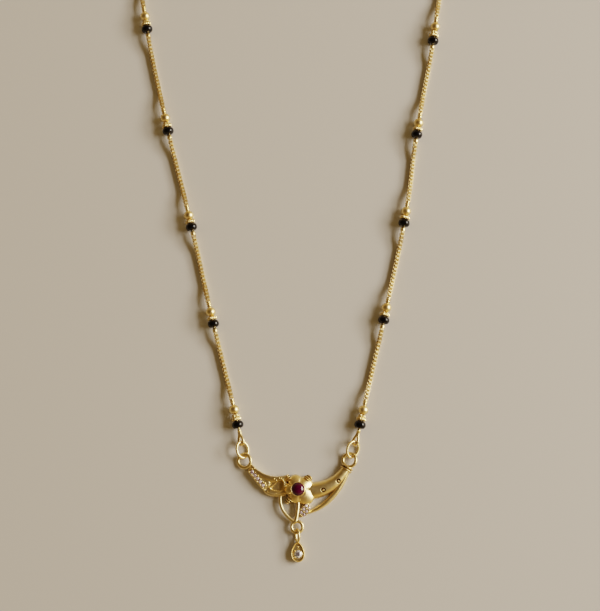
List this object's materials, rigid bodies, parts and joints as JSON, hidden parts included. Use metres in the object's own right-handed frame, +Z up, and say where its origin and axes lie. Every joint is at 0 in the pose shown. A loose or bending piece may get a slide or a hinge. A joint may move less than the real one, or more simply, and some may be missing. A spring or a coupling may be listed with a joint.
{
  "type": "mangalsutra necklace",
  "caption": "Gold mangalsutra necklace lying flat: box chain with black bead clusters, a winged pendant with a ruby and a small stone-set drop.",
  "frame": {"origin": "centre of the whole lying necklace's box, on the surface it lies on", "axes": "+Z up, out of the pendant's face; +Y from the pendant to the clasp along the loop's length; +X to the right as the pendant is seen"},
  "size_m": [0.0864, 0.2106, 0.0036],
  "materials": {
    "satin_gold": "satin cast gold",
    "polished_gold": "polished gold",
    "black_glass": "glossy black glass",
    "ruby": "polished cabochon",
    "clear_stone": "faceted clear stone"
  },
  "bodies": {
    "root": {"pendant_frame": "satin_gold", "ruby": "ruby", "wing_stones": "clear_stone", "lower_stones": "clear_stone", "drop_frame": "polished_gold", "drop_stone": "clear_stone", "clasp_hook": "polished_gold", "link_left": "polished_gold", "chain_left": "polished_gold", "end_cap_left": "polished_gold", "end_ring_left": "polished_gold", "link_right": "polished_gold", "chain_right": "polished_gold", "end_cap_right": "polished_gold", "end_ring_right": "polished_gold", "pin_left_1": "polished_gold", "bead_left_1": "black_glass", "spacer_left_1": "polished_gold", "ball_left_1": "polished_gold", "pin_left_2": "polished_gold", "bead_left_2": "black_glass", "spacer_left_2": "polished_gold", "ball_left_2": "polished_gold", "pin_left_3": "polished_gold", "bead_left_3": "black_glass", "spacer_left_3": "polished_gold", "ball_left_3": "polished_gold", "pin_left_4": "polished_gold", "bead_left_4": "black_glass", "spacer_left_4": "polished_gold", "ball_left_4": "polished_gold", "pin_left_5": "polished_gold", "bead_left_5": "black_glass", "spacer_left_5": "polished_gold", "ball_left_5": "polished_gold", "pin_right_1": "polished_gold", "bead_right_1": "black_glass", "spacer_right_1": "polished_gold", "ball_right_1": "polished_gold", "pin_right_2": "polished_gold", "bead_right_2": "black_glass", "spacer_right_2": "polished_gold", "ball_right_2": "polished_gold", "pin_right_3": "polished_gold", "bead_right_3": "black_glass", "spacer_right_3": "polished_gold", "ball_right_3": "polished_gold", "pin_right_4": "polished_gold", "bead_right_4": "black_glass", "spacer_right_4": "polished_gold", "ball_right_4": "polished_gold", "pin_right_5": "polished_gold", "bead_right_5": "black_glass", "spacer_right_5": "polished_gold", "ball_right_5": "polished_gold"}
  },
  "joints": []
}
